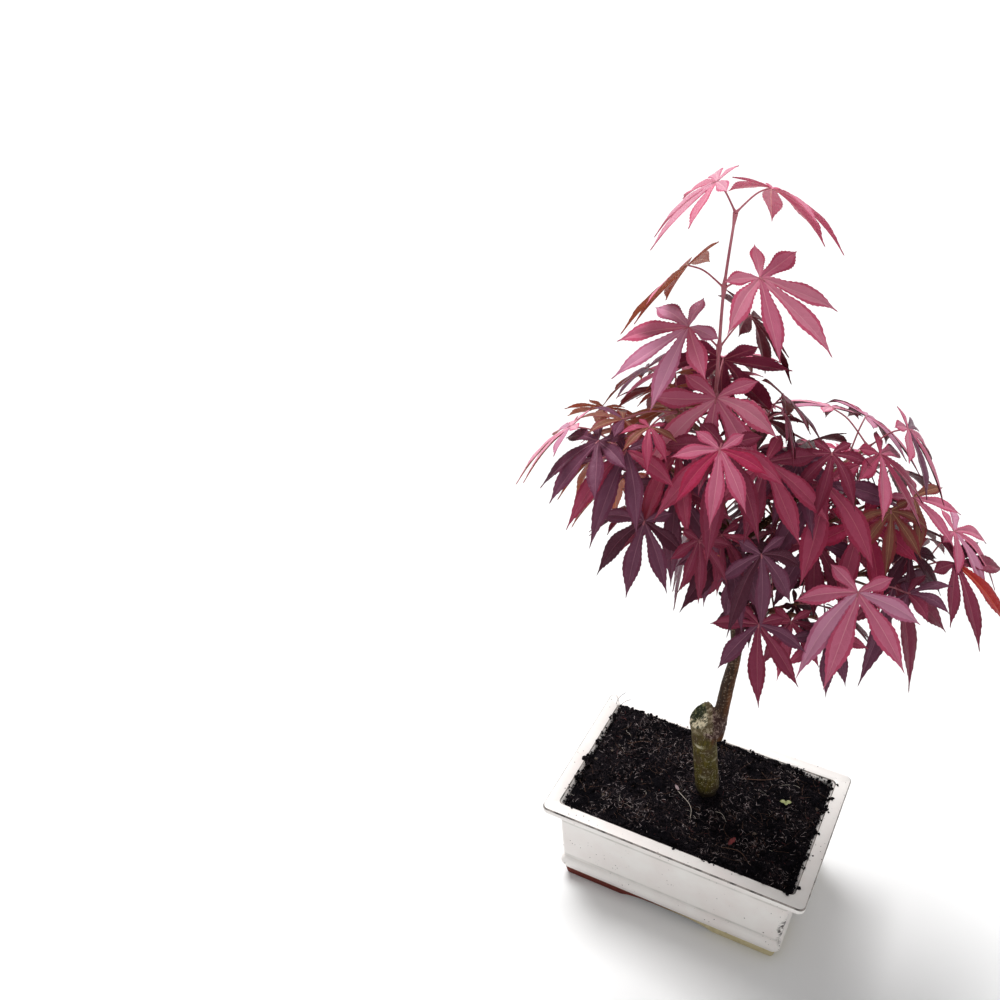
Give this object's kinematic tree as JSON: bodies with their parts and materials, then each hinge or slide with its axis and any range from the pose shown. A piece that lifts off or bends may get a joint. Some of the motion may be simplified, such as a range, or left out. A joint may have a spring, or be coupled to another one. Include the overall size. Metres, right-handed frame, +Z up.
{
  "type": "maple bonsai",
  "caption": "Grafted maple bonsai with a curved leader and deeply cut red leaves, in a rectangular glazed pot filled with compost.",
  "frame": {"origin": "level of the pot's feet, below the middle of the whole plant's outline", "axes": "+Z up, +X along the pot's long side towards the side that the lowest bough reaches over, +Y towards the back of the pot"},
  "size_m": [0.2943, 0.2254, 0.5642],
  "materials": {
    "white_glaze": "gloss",
    "compost": "matte",
    "bark": "matte",
    "young_bark": "satin",
    "foliage": "satin"
  },
  "bodies": {
    "root": {"pot": "white_glaze", "soil": "compost", "trunk": "bark", "bough_front_upper": "young_bark", "bough_left": "young_bark", "bough_right": "young_bark", "bough_right_middle": "young_bark", "bough_low_right": "young_bark", "bough_low_front": "young_bark", "bough_low_left": "young_bark", "bough_back": "young_bark", "bough_back_right": "young_bark", "bough_back_left": "young_bark", "crown_top": "foliage", "front_upper": "foliage", "upper_left": "foliage", "upper_right": "foliage", "left": "foliage", "right": "foliage", "right_middle": "foliage", "low_right": "foliage", "low_front": "foliage", "middle_front": "foliage", "low_left": "foliage", "back": "foliage", "back_right": "foliage", "back_left": "foliage"}
  },
  "joints": []
}
